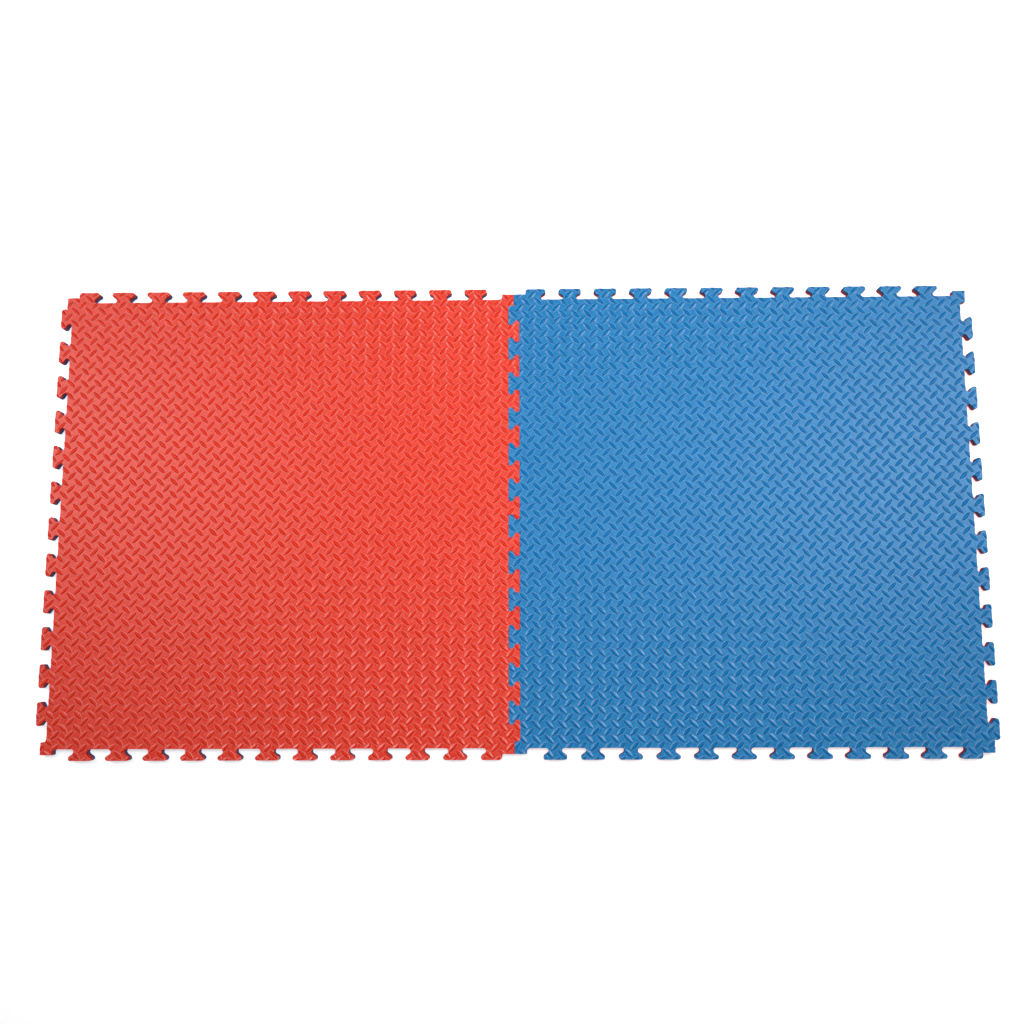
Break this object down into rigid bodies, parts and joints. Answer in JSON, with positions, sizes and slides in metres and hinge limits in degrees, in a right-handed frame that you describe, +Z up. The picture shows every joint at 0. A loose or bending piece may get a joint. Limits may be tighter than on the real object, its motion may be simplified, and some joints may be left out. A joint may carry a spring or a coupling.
{
  "type": "interlocking foam mats",
  "caption": "Pair of square two-colour foam mats with jigsaw edges, one red side up and one blue side up, meshed along one side.",
  "frame": {"origin": "on the floor, in the middle of the seam between the two mats", "axes": "+X along the pair from the red-faced mat to the blue-faced mat, +Y to the back side of both mats, +Z up out of the mats' faces"},
  "size_m": [2.0236, 1.0236, 0.02],
  "materials": {
    "red_foam": "matte",
    "blue_foam": "matte"
  },
  "bodies": {
    "left_mat": {"left_mat_blue_sheet": "blue_foam", "left_mat_red_sheet": "red_foam"},
    "right_mat": {"right_mat_red_sheet": "red_foam", "right_mat_blue_sheet": "blue_foam"}
  },
  "joints": [
    {"name": "lift_out", "type": "slide", "parent": "left_mat", "child": "right_mat", "axis": [0, 0, 1], "range_m": [0, 0.05]}
  ]
}
